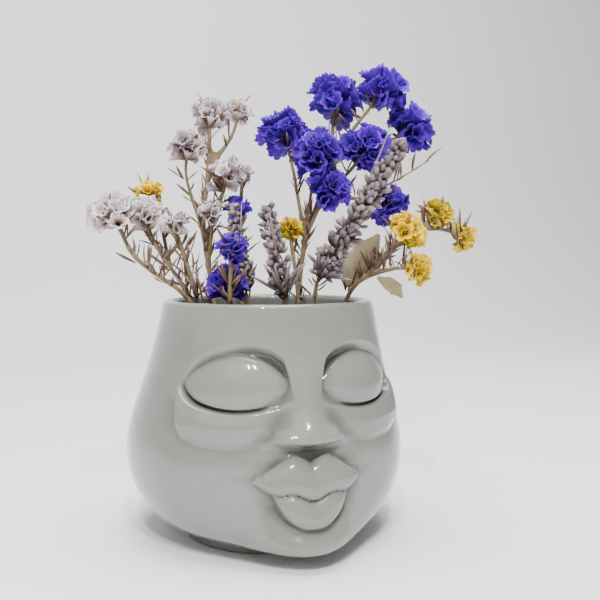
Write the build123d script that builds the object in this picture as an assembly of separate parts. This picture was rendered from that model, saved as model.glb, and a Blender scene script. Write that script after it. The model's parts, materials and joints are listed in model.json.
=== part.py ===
from build123d import *
import math
import os

import numpy as np

# Head planter: a glazed ceramic pot shaped as a sleeping face, with a loose bouquet of dried flowers.
# Frame: the origin is the middle of the foot's flat underside, +Z is up and the face looks to -Y.
# Lengths are millimetres and angles are degrees. A bearing is an angle about +Z, 0 at the nose.
# A level is a height as a share of the rim's height.

# Planter outline
rim_height = 100.0
rim_radius = 45.3
belly_height = 37.0
belly_radius = 60.3
belly_set_back = 6.0
foot_height = 5.0
foot_radius = 36.0
wall = 4.0
floor_thickness = 7.0
floor_radius = 32.0

# Planter jaw: how square the curve from foot to belly is, at the sides and at the chin
jaw_power = 2.0
chin_power = 4.0
chin_power_spread = 26.0

# Face relief, heights above the plain outline or depths below it
flat_depth = 2.5
cheek_relief = 1.2
mask_relief = 0.7
bag_relief = 2.1
socket_depth = 3.5
lid_relief = 1.7
nose_relief = 8.4
wing_relief = 2.1
muzzle_relief = 2.0
upper_lip_relief = 5.0
lower_lip_relief = 5.6
philtrum_depth = 1.0
chin_relief = 7.6
chin_fold_depth = 0.5
crease_blend = 0.5

# Face curves: bearing from the nose line, level
brow_level_shares = [(5.5, 0.66), (7, 0.72), (9, 0.785), (13, 0.825), (20, 0.853), (28, 0.863), (36, 0.852),
                     (45, 0.825), (52, 0.78), (58, 0.70)]
lash_level_shares = [(8.5, 0.642), (11, 0.628), (17, 0.615), (25, 0.606), (33, 0.606), (42, 0.618),
                     (49, 0.638), (54, 0.668), (57, 0.695)]
bag_level_shares = [(9, 0.60), (13.6, 0.516), (20, 0.473), (29, 0.447), (36, 0.45), (47, 0.472), (53, 0.51),
                    (57, 0.64)]
lip_top_level_shares = [(0, 0.408), (3.5, 0.428), (6.5, 0.436), (10, 0.42), (15, 0.386), (19, 0.36),
                        (22, 0.343)]
mouth_level_shares = [(0, 0.272), (2, 0.276), (4, 0.287), (6, 0.297), (8, 0.30), (11, 0.296), (14, 0.298),
                      (18, 0.318), (22, 0.341)]
lip_foot_level_shares = [(0, 0.164), (4, 0.169), (8, 0.190), (11, 0.222), (13.2, 0.265), (14.5, 0.30)]
thinnest_lip_share = 0.004
upper_lip_fade_shares = [(0, 0.92), (5, 1), (10, 0.92), (16, 0.66), (20, 0.38), (22, 0.12), (23.5, 0)]

# Face curves: level, share of the nose's relief; level, half width of the nose as a bearing
nose_ridge_shares = [(0.44, 0), (0.457, 0.03), (0.472, 0.36), (0.485, 0.84), (0.50, 1.0), (0.52, 0.96),
                     (0.56, 0.74), (0.62, 0.46), (0.68, 0.28), (0.74, 0.12), (0.80, 0)]
nose_spread_shares = [(0.44, 11), (0.47, 11), (0.50, 10.4), (0.55, 8.0), (0.60, 6.4), (0.66, 5.6),
                      (0.72, 6.0), (0.80, 8.5)]

# Face places: bearing, level, and their spreads
lid_bearing, lid_bearing_spread = 32.5, 26.5
lid_level_share, lid_spread_share = 0.695, 0.118
lid_taper = 0.75
wing_bearing, wing_bearing_spread = 9.8, 3.6
wing_level_share, wing_rise_share, wing_drop_share = 0.505, 0.034, 0.022

# Skin grid: bearings over half the head, close together on the face, and rows from foot to floor
face_edge_bearing = 70.0
face_columns = 42
back_columns = 18
foot_rows, bowl_rows, wall_rows, lip_rows, inner_rows, cavity_rows = 4, 22, 56, 8, 18, 14

# Bouquet: it is turned about +Z from the face, and stands in the mouth's middle
bouquet_turn = -17.0
bouquet_reach = 80.0
bouquet_rise = 100.0
stem_radius = 1.2
branch_radius = 0.9
twig_radius = 0.5
stem_tip_share = 0.75
stem_sides = 7
stem_clearance = 0.3
bud_radius = 2.2
floret_gap = 0.2

# Florets: mouth radius, length, number of pleats
purple_mouth, purple_length, purple_pleats = 5.2, 10.8, 6
white_mouth, white_length, white_pleats = 3.2, 8.6, 5
yellow_mouth, yellow_length, yellow_pleats = 3.0, 7.0, 5
floret_throat = 0.8
pleat_fold_share = 0.74
mouth_hollow_share = 0.45
golden_turn = 137.508

# Lavender spikes and leaves
spike_radius = 4.6
whorl_pitch = 5.5
whorl_waist_share = 0.5
spike_tip_share = 0.35
leaf_thickness = 0.9
leaf_tip_share = 0.12
broad_leaf_width = 14.0
wilted_leaf_width = 7.0

# Stem feet: across, back as shares of the reach
# Stem points: across, back as shares of the reach, then the height over the rim as a share of the rise
left_feet_shares = [(-0.16, -0.05), (-0.21, 0.0), (-0.25, -0.045)]
left_path_shares = [
    [(-0.33, -0.10, -0.015), (-0.53, -0.155, 0.075), (-0.70, -0.205, 0.18), (-0.74, -0.22, 0.27),
     (-0.79, -0.225, 0.34)],
    [(-0.375, -0.005, -0.015), (-0.525, -0.012, 0.13), (-0.625, -0.02, 0.26), (-0.65, -0.02, 0.34)],
    [(-0.36, -0.055, -0.01), (-0.455, -0.075, 0.21), (-0.495, -0.08, 0.30)],
]
left_branch_shares = [[(-0.525, -0.012, 0.13), (-0.575, 0.07, 0.30), (-0.65, 0.105, 0.44)]]

back_left_feet_shares = [(-0.175, 0.10), (-0.10, 0.175)]
back_left_path_shares = [
    [(-0.30, 0.175, -0.03), (-0.375, 0.25, 0.32), (-0.34, 0.29, 0.58), (-0.335, 0.375, 0.82)],
    [(-0.15, 0.275, -0.03), (-0.163, 0.35, 0.32), (-0.15, 0.41, 0.55)],
]
back_left_branch_shares = [
    [(-0.375, 0.25, 0.32), (-0.475, 0.29, 0.54), (-0.46, 0.30, 0.67)],
    [(-0.34, 0.29, 0.58), (-0.20, 0.40, 0.75), (-0.175, 0.46, 0.85)],
    [(-0.36, 0.235, 0.25), (-0.27, 0.235, 0.42), (-0.24, 0.245, 0.53)],
    [(-0.157, 0.315, 0.15), (-0.17, 0.27, 0.31), (-0.17, 0.26, 0.38)],
    [(-0.34, 0.215, 0.15), (-0.31, 0.15, 0.29), (-0.315, 0.115, 0.36)],
]

back_right_feet_shares = [(0.10, 0.125), (0.20, 0.15)]
back_right_path_shares = [
    [(0.1625, 0.2125, -0.03), (0.2125, 0.3125, 0.26), (0.3125, 0.425, 0.47), (0.375, 0.475, 0.65),
     (0.40, 0.54, 0.84), (0.41, 0.55, 0.93)],
    [(0.1875, 0.1625, -0.03), (0.14, 0.22, 0.20), (0.13, 0.235, 0.29)],
]
back_right_branch_shares = [
    [(0.375, 0.475, 0.65), (0.56, 0.50, 0.84), (0.68, 0.52, 0.96)],
    [(0.2125, 0.3125, 0.26), (0.165, 0.45, 0.55), (0.115, 0.525, 0.75)],
    [(0.375, 0.475, 0.65), (0.66, 0.51, 0.70), (0.84, 0.55, 0.79)],
    [(0.2125, 0.3125, 0.26), (0.25, 0.30, 0.48), (0.285, 0.275, 0.63)],
    [(0.3125, 0.425, 0.47), (0.475, 0.365, 0.57), (0.55, 0.325, 0.66)],
    [(0.2125, 0.3125, 0.26), (0.29, 0.235, 0.40), (0.34, 0.21, 0.48)],
    [(0.3125, 0.425, 0.47), (0.56, 0.45, 0.46), (0.70, 0.45, 0.43)],
]
back_right_twig_shares = [(0.56, 0.45, 0.46), (0.825, 0.45, 0.57), (0.98, 0.475, 0.65)]

right_feet_shares = [(0.20, -0.04)]
right_path_shares = [
    [(0.36, -0.075, 0.01), (0.525, -0.10, 0.10), (0.675, -0.05, 0.22), (0.825, -0.05, 0.31),
     (0.91, -0.05, 0.36)],
]
right_branch_shares = [
    [(0.525, -0.10, 0.10), (0.65, -0.15, 0.22), (0.71, -0.175, 0.28)],
    [(0.825, -0.05, 0.31), (0.96, -0.065, 0.30), (1.03, -0.075, 0.27)],
    [(0.525, -0.10, 0.10), (0.675, -0.19, 0.14), (0.76, -0.215, 0.13)],
]
broad_leaf_seat_share = 0.3
broad_leaf_shares = [(0.46, -0.04, 0.12), (0.54, -0.02, 0.205), (0.60, -0.02, 0.28)]
wilted_leaf_seat_share = 0.35
wilted_leaf_shares = [(0.625, -0.165, 0.075), (0.67, -0.19, 0.045), (0.70, -0.205, 0.01)]

front_right_feet_shares = [(0.125, -0.10)]
front_right_path_shares = [[(0.225, -0.19, 0.0), (0.2625, -0.23, 0.10)]]
front_right_spike_shares = [((0.2625, -0.23, 0.10), (0.66, -0.575, 0.65), 1.5)]

front_feet_shares = [(0.04, -0.15)]
front_path_shares = [[(0.0875, -0.285, -0.01), (0.08, -0.305, 0.03)]]
front_spike_shares = [((0.08, -0.305, 0.03), (-0.015, -0.39, 0.40), 1.25)]

front_left_feet_shares = [(-0.11, -0.15), (-0.075, -0.11), (-0.14, -0.19)]
front_left_path_shares = [
    [(-0.19, -0.24, -0.02), (-0.21, -0.26, 0.06)],
    [(-0.11, -0.11, -0.01), (-0.115, -0.115, 0.04)],
    [(-0.20, -0.36, -0.02), (-0.185, -0.40, 0.12), (-0.18, -0.41, 0.20)],
]
front_left_spike_shares = [((-0.115, -0.115, 0.04), (-0.19, -0.19, 0.42), 1.0)]


def smooth_curve(points, at):
    """Value at each place of a smooth curve through points of rising place, held flat beyond its ends."""
    places, values = np.array(points, float).T
    slopes = np.gradient(values, places)
    at = np.clip(at, places[0], places[-1])
    left = np.clip(np.searchsorted(places, at) - 1, 0, len(places) - 2)
    span = places[left + 1] - places[left]
    t = (at - places[left]) / span
    start = (1 + 2 * t) * (1 - t) ** 2 * values[left] + t * (1 - t) ** 2 * span * slopes[left]
    end = t * t * (3 - 2 * t) * values[left + 1] + t * t * (t - 1) * span * slopes[left + 1]
    return start + end


def ramp(value):
    """0 below 0, 1 above 1, and a smooth step between."""
    t = np.clip(value, 0, 1)
    return t * t * (3 - 2 * t)


def hump(value, middle, spread):
    """Bell curve of height 1."""
    return np.exp(-((value - middle) / spread) ** 2)


def dome(place, crest, low_edge, high_edge):
    """Rounded profile over places 0 to 1: 1 at the crest, low_edge at 0 and high_edge at 1."""
    place = np.clip(place, 0, 1)
    low = low_edge + (1 - low_edge) * np.sqrt(np.clip(1 - ((crest - place) / crest) ** 2, 0, 1))
    high = high_edge + (1 - high_edge) * np.sqrt(np.clip(1 - ((place - crest) / (1 - crest)) ** 2, 0, 1))
    return np.where(place < crest, low, high)


def smooth_max(one, other, blend):
    """The larger of two heights, rounded where they cross."""
    return (one + other + np.sqrt((one - other) ** 2 + blend ** 2)) / 2


def cheeks(side, level):
    """Flattened front of the face, full cheeks, and the step at the temples."""
    front = -flat_depth * np.exp(-(side / 44) ** 4 - ((level - 0.42) / 0.24) ** 4)
    full = cheek_relief * hump(side, 42, 16) * hump(level, 0.33, 0.12)
    temples = mask_relief * ramp((57 - side) / 5) * ramp((level - 0.50) / 0.05) * ramp((0.93 - level) / 0.1)
    return front + full + temples


def eye_bag(side, level):
    """Soft cushion below the eye, with a crisper edge at its outer end."""
    lash = smooth_curve(lash_level_shares, side)
    bag_foot = smooth_curve(bag_level_shares, side)
    place = (level - bag_foot) / (lash - bag_foot)
    crisp = 0.10 + 0.35 * ramp((side - 36) / 14)
    across = ramp((side - 10.5) / 13) * ramp((58 - side) / 3)
    inside = ramp(place / 0.24) * ramp((1.03 - place) / 0.10) * across
    return bag_relief * inside * (crisp + (1 - crisp) * np.sin(np.pi * np.clip(place, 0, 1)))


def eye_socket(side, level):
    """Share of the full socket depth, between the brow and the lash line."""
    lash = smooth_curve(lash_level_shares, side)
    brow = smooth_curve(brow_level_shares, side)
    across = ramp((side - 4.5) / 4.5) * ramp((61 - side) / 9)
    edge = 0.045 + 0.03 * ramp((side - 10) / 30)
    depth = 0.35 + 0.65 * ramp((level - 0.63) / 0.12 + ramp((side - 12) / 10))
    return ramp((brow - level) / edge) * ramp((level - lash + 0.022) / 0.02) * across * depth


def closed_lid(side, level):
    """Closed lid: an almond ball in the socket, cut off along the lash line."""
    lash = smooth_curve(lash_level_shares, side)
    across = np.clip(1 - ((side - lid_bearing) / lid_bearing_spread) ** 2, thinnest_lip_share, 1)
    up = (level - lid_level_share) / (lid_spread_share * across ** lid_taper)
    ball = np.sqrt(np.clip(1 - up ** 2, 0, 1) * across) * ramp((level - lash + 0.010) / 0.014)
    return (lid_relief + socket_depth) * ball - socket_depth


def nose(side, level):
    """Ridge that widens down to the tip, with a wing at each side."""
    spread = smooth_curve(nose_spread_shares, level)
    ridge = np.maximum(smooth_curve(nose_ridge_shares, level), 0) * np.exp(-(side / spread) ** 2)
    wing_spread = np.where(level > wing_level_share, wing_rise_share, wing_drop_share)
    wing = hump(side, wing_bearing, wing_bearing_spread) * hump(level, wing_level_share, wing_spread)
    return nose_relief * ridge + wing_relief * wing


def lips(side, level):
    """Full lips that meet in a bowed line, on a soft muzzle, with the groove under the nose."""
    lip_top = smooth_curve(lip_top_level_shares, side)
    mouth = smooth_curve(mouth_level_shares, side)
    lip_foot = smooth_curve(lip_foot_level_shares, side)
    place = (level - mouth) / (lip_top - mouth)
    upper = upper_lip_relief * smooth_curve(upper_lip_fade_shares, side) * dome(place, 0.30, 0.60, 0.05)
    upper = upper * ramp((1.08 - place) / 0.10) * ramp((place + 0.07) / 0.09)
    place = (level - lip_foot) / np.maximum(mouth - lip_foot, thinnest_lip_share)
    end = lip_foot_level_shares[-1][0]
    lower = lower_lip_relief * np.sqrt(np.clip(1 - (side / end) ** 2, 0, 1)) * dome(place, 0.52, 0.02, 0.30)
    lower = lower * ramp((1.02 - place) / 0.06) * ramp((place + 0.08) / 0.1)
    muzzle = muzzle_relief * hump(side, 0, 19) * hump(level, 0.31, 0.12)
    groove = philtrum_depth * hump(side, 0, 3.2) * hump(level, 0.45, 0.022)
    return np.maximum(upper, np.where(side < end, lower, 0)) + muzzle - groove


def chin(side, level):
    """Chin that juts forward, below a soft fold."""
    jut = chin_relief * hump(side, 0, 18) * hump(level, 0.065, 0.085)
    return jut - chin_fold_depth * hump(side, 0, 14) * hump(level, 0.150, 0.024)


def face_relief(bearings, level):
    """Height of the sculpted face above the plain outline, fading out at the foot and the rim."""
    side = np.abs(bearings)
    face = cheeks(side, level) + eye_bag(side, level)
    socket = eye_socket(side, level)
    face = face * (1 - socket) - socket_depth * socket
    face = smooth_max(face, closed_lid(side, level), crease_blend)
    face = face + nose(side, level) + lips(side, level) + chin(side, level)
    return face * ramp((level - 0.03) / 0.03) * ramp((0.985 - level) / 0.08)


def wall_flare(share):
    """How far the wall has drawn in from belly to rim."""
    return share ** 2 + (1 - share) * share ** 2 * (3 - 2 * share)


def set_back(height):
    """How far behind the foot's middle the wall's middle lies: most at the belly, none at foot and rim."""
    low = np.sin(np.pi / 2 * np.clip((height - foot_height) / (belly_height - foot_height), 0, 1))
    high = 1 - ramp((height - belly_height) / (rim_height - belly_height))
    return belly_set_back * np.where(height < belly_height, low, high)


def skin_rows(bearings):
    """Rows of (radius, height) over the bearings: up the outside, over the lip and down to the floor."""
    lip = wall / 2
    lip_height = rim_height - lip
    draw_in = belly_radius - rim_radius
    power = jaw_power + (chin_power - jaw_power) * hump(bearings, 0, chin_power_spread)
    rows = []
    for i in range(foot_rows):
        rows.append((foot_radius, foot_height * i / foot_rows, 0))
    for i in range(bowl_rows):
        turn = np.pi / 2 * i / bowl_rows
        radius = foot_radius + (belly_radius - foot_radius) * np.sin(turn) ** (2 / power)
        rows.append((radius, belly_height - (belly_height - foot_height) * np.cos(turn) ** (2 / power), 1))
    for i in range(wall_rows):
        share = i / wall_rows
        radius = belly_radius - draw_in * wall_flare(share)
        rows.append((radius, belly_height + (lip_height - belly_height) * share, 1))
    for i in range(lip_rows):
        turn = np.pi * i / lip_rows
        rows.append((rim_radius - lip + lip * math.cos(turn), lip_height + lip * math.sin(turn), 0))
    for i in range(inner_rows):
        share = 1 - i / inner_rows
        radius = belly_radius - wall - draw_in * wall_flare(share)
        rows.append((radius, belly_height + (lip_height - belly_height) * share, 0))
    for i in range(cavity_rows + 1):
        turn = np.pi / 2 * i / cavity_rows
        radius = floor_radius + (belly_radius - wall - floor_radius) * math.cos(turn)
        rows.append((radius, belly_height - (belly_height - floor_thickness) * math.sin(turn), 0))
    return [(radius + relief * face_relief(bearings, height / rim_height), height + 0 * bearings)
            for radius, height, relief in rows]


def planter_head():
    """Pot with its sculpted face: closed rows of skin, from the foot over the rim to the floor."""
    face = np.linspace(0, face_edge_bearing, face_columns, endpoint=False)
    back = np.linspace(face_edge_bearing, 180, back_columns + 1)
    right = np.concatenate([face, back])
    bearings = np.concatenate([right, -right[-2:0:-1]])
    turns = np.radians(bearings)
    rings = []
    for radius, height in skin_rows(bearings):
        places = zip(radius * np.sin(turns), set_back(height) - radius * np.cos(turns), height)
        rings.append(Wire([Edge.make_spline([Vector(*place) for place in places], periodic=True)]))
    return Solid.make_loft(rings, ruled=True)


def bouquet_point(across_share, back_share, up_share):
    """Place of a point of the bouquet, from its shares of the reach and the rise."""
    flat = Vector(across_share * bouquet_reach, back_share * bouquet_reach, 0).rotate(Axis.Z, bouquet_turn)
    return flat + Vector(0, 0, rim_height + up_share * bouquet_rise)


def foot_point(across_share, back_share):
    """Place of a stem's cut foot, standing just off the pot's floor."""
    flat = Vector(across_share * bouquet_reach, back_share * bouquet_reach, 0).rotate(Axis.Z, bouquet_turn)
    return flat + Vector(0, 0, floor_thickness + stem_clearance)


def polyhedron(corners, faces):
    """Closed solid with flat faces, each a list of corner numbers."""
    return Solid(Shell([Face(Wire.make_polygon([corners[i] for i in face])) for face in faces]))


def stem(points, radius, foot_level=False):
    """Tapered many-sided stem through points, with a level foot where it stands on the floor."""
    viewer = Vector(0, -1, 0).rotate(Axis.Z, bouquet_turn)
    runs = [(end - start).normalized() for start, end in zip(points, points[1:])]
    facings = [Vector(0, 0, 1) if foot_level else runs[0]]
    facings += [before + after for before, after in zip(runs, runs[1:])] + [runs[-1]]
    corners = []
    for i, (point, facing) in enumerate(zip(points, facings)):
        girth = radius * (1 - (1 - stem_tip_share) * i / (len(points) - 1))
        plane = Plane(origin=point, x_dir=facing.cross(viewer), z_dir=facing)
        for side in range(stem_sides):
            turn = 2 * math.pi * side / stem_sides
            corners.append(plane.from_local_coords(Vector(girth * math.cos(turn), girth * math.sin(turn), 0)))
    last = stem_sides * (len(points) - 1)
    faces = [list(range(stem_sides)), list(range(last, last + stem_sides))]
    for ring in range(0, last, stem_sides):
        for side in range(stem_sides):
            here = ring + side
            beside = ring + (side + 1) % stem_sides
            faces += [[here, beside, beside + stem_sides], [here, beside + stem_sides, here + stem_sides]]
    return polyhedron(corners, faces)


def fused(solids):
    """All the solids as one or more separate solids."""
    if len(solids) == 1:
        return solids
    return solids[0].fuse(*solids[1:]).solids()


def floret(mouth, length, pleats):
    """Dried papery floret along +Z: a pleated funnel with a hollow mouth, its throat at the origin."""
    count = 2 * pleats
    turns = [2 * math.pi * i / count for i in range(count)]
    reaches = [mouth if i % 2 else mouth * pleat_fold_share for i in range(count)]
    throat = [Vector(floret_throat * math.cos(t), floret_throat * math.sin(t), 0) for t in turns]
    rim = [Vector(r * math.cos(t), r * math.sin(t), length) for r, t in zip(reaches, turns)]
    hollow = Vector(0, 0, length * (1 - mouth_hollow_share))
    corners = throat + rim + [hollow]
    faces = [list(range(count))]
    for i in range(count):
        nxt = (i + 1) % count
        faces += [[i, nxt, count + nxt], [i, count + nxt, count + i], [count + i, count + nxt, 2 * count]]
    return polyhedron(corners, faces)


def flower_head(centre, axis, kind, count, half_angle, size_share):
    """Florets spread over a dome round a bud, each just off the bud."""
    mouth, length, pleats = kind
    one = floret(mouth * size_share, length * size_share, pleats)
    dome_plane = Plane(origin=centre, z_dir=axis)
    florets = []
    for i in range(count):
        height = 1 - (i + 0.5) / count * (1 - math.cos(math.radians(half_angle)))
        flat = math.sqrt(1 - height * height)
        turn = math.radians(golden_turn * i)
        local = Vector(flat * math.cos(turn), flat * math.sin(turn), height)
        away = dome_plane.from_local_coords(local) - dome_plane.origin
        florets.append(Plane(origin=centre + away * (bud_radius + floret_gap), z_dir=away) * one)
    return florets


def lavender_spike(start, end, width_share):
    """Dried lavender spike: whorls of buds that swell and narrow along a straight stalk."""
    length = (end - start).length - floret_gap
    whorls = round(length / whorl_pitch)
    outline = [(0, 0)]
    for i in range(2 * whorls + 1):
        share = i / (2 * whorls)
        full = spike_radius * width_share * (1 - (1 - spike_tip_share) * share ** 2)
        outline.append((full if i % 2 else full * whorl_waist_share, length * share))
    outline.append((0, length))
    profile = Face(Wire.make_polygon([Vector(radius, 0, height) for radius, height in outline]))
    away = (end - start).normalized()
    return Plane(origin=start + away * floret_gap, z_dir=away) * revolve(profile, Axis.Z)


def leaf_seat(start, end, share, side):
    """Place where a leaf grows just off a stem, above it on side 1 or below it on side -1."""
    on_stem = bouquet_point(*start) * (1 - share) + bouquet_point(*end) * share
    return on_stem + Vector(0, 0, side * (stem_radius + stem_clearance + leaf_thickness / 2))


def leaf(points, width):
    """Dried leaf: a thin blade along its points, widest in the middle, its faces to the front."""
    viewer = Vector(0, -1, 0).rotate(Axis.Z, bouquet_turn)
    sections = []
    for i, point in enumerate(points):
        before = points[max(i - 1, 0)]
        after = points[min(i + 1, len(points) - 1)]
        along = after - before
        share = i / (len(points) - 1)
        broad = width * max(math.sin(math.pi * share), leaf_tip_share)
        across = along.cross(viewer)
        section = Plane(origin=point, x_dir=across, z_dir=along)
        sections.append(section * Ellipse(broad / 2, leaf_thickness / 2))
    return loft([section.face() for section in sections], ruled=True)


def bunch_stems(feet, paths, branches=(), heads=(), twigs=()):
    """Stems of one bunch, with a bud at the end of each path that carries florets."""
    solids = []
    for foot, path in zip(feet, paths):
        points = [foot_point(*foot)] + [bouquet_point(*point) for point in path]
        solids.append(stem(points, stem_radius, True))
    for branch in branches:
        solids.append(stem([bouquet_point(*point) for point in branch], branch_radius))
    for twig in twigs:
        solids.append(stem([bouquet_point(*point) for point in twig], twig_radius))
    for path, *_ in heads:
        before, centre = [bouquet_point(*point) for point in path[-2:]]
        solids.append(Solid.make_sphere(bud_radius, Plane(origin=centre, z_dir=centre - before)))
    return fused(solids)


def head_florets(heads, colour):
    """Florets of one colour over all the heads of a bunch."""
    florets = []
    for path, head_colour, count, half_angle, size_share in heads:
        if head_colour == colour:
            centre = bouquet_point(*path[-1])
            axis = centre - bouquet_point(*path[-2])
            florets += flower_head(centre, axis, floret_kinds[colour], count, half_angle, size_share)
    return florets


def spikes(shares):
    """Lavender spikes from the shares of their starts, ends and widths."""
    return [lavender_spike(bouquet_point(*start), bouquet_point(*end), width) for start, end, width in shares]


def save(name, solids):
    """One file per piece or group of alike pieces."""
    solids = [solid for shape in solids for solid in shape.solids()]
    piece = Compound(children=solids) if len(solids) > 1 else solids[0]
    export_step(piece, os.path.join("parts", name + ".step"))
    print(name, len(solids), "solids", round(sum(solid.volume for solid in solids)), "mm3")


floret_kinds = {
    "purple": (purple_mouth, purple_length, purple_pleats),
    "white": (white_mouth, white_length, white_pleats),
    "yellow": (yellow_mouth, yellow_length, yellow_pleats),
}

# Flower heads: path, colour, florets, half angle of the dome, size as a share of a full floret
left_heads = [
    (left_path_shares[0], "white", 13, 80, 1.0),
    (left_path_shares[1], "white", 12, 78, 0.95),
    (left_path_shares[2], "white", 6, 60, 0.7),
    (left_branch_shares[0], "yellow", 7, 80, 0.8),
]
back_left_heads = [
    (back_left_path_shares[0], "white", 11, 80, 0.92),
    (back_left_path_shares[1], "white", 6, 75, 0.65),
    (back_left_branch_shares[0], "white", 11, 85, 0.95),
    (back_left_branch_shares[1], "white", 8, 70, 0.7),
    (back_left_branch_shares[2], "white", 8, 75, 1.0),
    (back_left_branch_shares[3], "purple", 4, 60, 0.5),
    (back_left_branch_shares[4], "white", 6, 70, 0.6),
]
back_right_heads = [
    (back_right_path_shares[0], "purple", 7, 80, 1.0),
    (back_right_path_shares[1], "yellow", 7, 80, 0.8),
    (back_right_branch_shares[0], "purple", 7, 80, 1.0),
    (back_right_branch_shares[1], "purple", 7, 80, 1.0),
    (back_right_branch_shares[2], "purple", 7, 80, 1.0),
    (back_right_branch_shares[3], "purple", 7, 80, 1.0),
    (back_right_branch_shares[4], "purple", 7, 80, 1.0),
    (back_right_branch_shares[5], "purple", 6, 75, 0.75),
    (back_right_branch_shares[6], "purple", 6, 75, 0.85),
]
right_heads = [
    (right_path_shares[0], "yellow", 8, 80, 0.8),
    (right_branch_shares[0], "yellow", 9, 85, 1.0),
    (right_branch_shares[1], "yellow", 7, 75, 0.75),
    (right_branch_shares[2], "yellow", 7, 75, 0.75),
]
front_left_heads = [
    (front_left_path_shares[0], "purple", 6, 75, 0.65),
    (front_left_path_shares[2], "purple", 5, 70, 0.5),
]

os.makedirs("parts", exist_ok=True)
save("planter_head", [planter_head()])

save("left_stems", bunch_stems(left_feet_shares, left_path_shares, left_branch_shares, left_heads))
save("left_white_florets", head_florets(left_heads, "white"))
save("left_yellow_florets", head_florets(left_heads, "yellow"))

save("back_left_stems", bunch_stems(back_left_feet_shares, back_left_path_shares, back_left_branch_shares,
                                    back_left_heads))
save("back_left_white_florets", head_florets(back_left_heads, "white"))
save("back_left_purple_florets", head_florets(back_left_heads, "purple"))

save("back_right_stems", bunch_stems(back_right_feet_shares, back_right_path_shares, back_right_branch_shares,
                                     back_right_heads, [back_right_twig_shares]))
save("back_right_purple_florets", head_florets(back_right_heads, "purple"))
save("back_right_yellow_florets", head_florets(back_right_heads, "yellow"))

save("right_stems", bunch_stems(right_feet_shares, right_path_shares, right_branch_shares, right_heads))
save("right_yellow_florets", head_florets(right_heads, "yellow"))
broad_leaf_seat = leaf_seat(*right_path_shares[0][:2], broad_leaf_seat_share, 1)
wilted_leaf_seat = leaf_seat(*right_branch_shares[2][:2], wilted_leaf_seat_share, -1)
save("broad_leaf", [leaf([broad_leaf_seat] + [bouquet_point(*point) for point in broad_leaf_shares],
                         broad_leaf_width)])
save("wilted_leaf", [leaf([wilted_leaf_seat] + [bouquet_point(*point) for point in wilted_leaf_shares],
                          wilted_leaf_width)])

save("front_right_stem", bunch_stems(front_right_feet_shares, front_right_path_shares))
save("front_right_lavender", spikes(front_right_spike_shares))

save("front_stem", bunch_stems(front_feet_shares, front_path_shares))
save("front_lavender", spikes(front_spike_shares))

save("front_left_stems", bunch_stems(front_left_feet_shares, front_left_path_shares, (), front_left_heads))
save("front_left_purple_florets", head_florets(front_left_heads, "purple"))
save("front_left_lavender", spikes(front_left_spike_shares))
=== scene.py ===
import json
import math

import bmesh
import bpy
import numpy as np
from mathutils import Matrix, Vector, noise


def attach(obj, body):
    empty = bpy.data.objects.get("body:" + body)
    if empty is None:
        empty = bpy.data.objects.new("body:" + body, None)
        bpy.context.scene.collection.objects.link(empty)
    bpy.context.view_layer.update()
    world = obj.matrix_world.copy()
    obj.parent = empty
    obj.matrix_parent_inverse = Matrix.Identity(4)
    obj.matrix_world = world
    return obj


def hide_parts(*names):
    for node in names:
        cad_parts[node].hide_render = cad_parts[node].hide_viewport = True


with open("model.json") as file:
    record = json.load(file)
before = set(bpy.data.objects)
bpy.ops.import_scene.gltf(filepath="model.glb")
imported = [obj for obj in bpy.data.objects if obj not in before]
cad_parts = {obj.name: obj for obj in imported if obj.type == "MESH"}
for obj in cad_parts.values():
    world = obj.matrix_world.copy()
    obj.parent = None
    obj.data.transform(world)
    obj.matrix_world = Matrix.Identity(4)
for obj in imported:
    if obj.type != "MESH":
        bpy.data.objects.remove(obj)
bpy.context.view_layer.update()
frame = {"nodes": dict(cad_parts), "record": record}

nodes = frame["nodes"]
random = np.random.default_rng(7)

# Planter outline, metres, as in the solid
rim_height = 0.100
rim_radius = 0.0453
belly_height = 0.037
belly_radius = 0.0603
belly_set_back = 0.006
foot_height = 0.005
foot_radius = 0.036
wall = 0.004
floor_thickness = 0.007
floor_radius = 0.032
jaw_power = 2.0
chin_power = 4.0
chin_power_spread = 26.0

# Face relief, metres
flat_depth = 0.0025
cheek_relief = 0.0012
mask_relief = 0.0007
bag_relief = 0.00210
socket_depth = 0.0035
lid_relief = 0.00170
nose_relief = 0.00840
wing_relief = 0.00210
muzzle_relief = 0.0020
upper_lip_relief = 0.0050
lower_lip_relief = 0.0056
philtrum_depth = 0.0010
chin_relief = 0.00760
chin_fold_depth = 0.00050
crease_blend = 0.00050

# Face curves: bearing from the nose line in degrees, level as a share of the rim's height
brow_level_shares = [(5.5, 0.66), (7, 0.72), (9, 0.785), (13, 0.825), (20, 0.853), (28, 0.863), (36, 0.852),
                     (45, 0.825), (52, 0.78), (58, 0.70)]
lash_level_shares = [(8.5, 0.642), (11, 0.628), (17, 0.615), (25, 0.606), (33, 0.606), (42, 0.618),
                     (49, 0.638), (54, 0.668), (57, 0.695)]
bag_level_shares = [(9, 0.60), (13.6, 0.516), (20, 0.473), (29, 0.447), (36, 0.45), (47, 0.472), (53, 0.51),
                    (57, 0.64)]
lip_top_level_shares = [(0, 0.408), (3.5, 0.428), (6.5, 0.436), (10, 0.42), (15, 0.386), (19, 0.36),
                        (22, 0.343)]
mouth_level_shares = [(0, 0.272), (2, 0.276), (4, 0.287), (6, 0.297), (8, 0.30), (11, 0.296), (14, 0.298),
                      (18, 0.318), (22, 0.341)]
lip_foot_level_shares = [(0, 0.164), (4, 0.169), (8, 0.190), (11, 0.222), (13.2, 0.265), (14.5, 0.30)]
thinnest_lip_share = 0.004
upper_lip_fade_shares = [(0, 0.92), (5, 1), (10, 0.92), (16, 0.66), (20, 0.38), (22, 0.12), (23.5, 0)]
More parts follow.
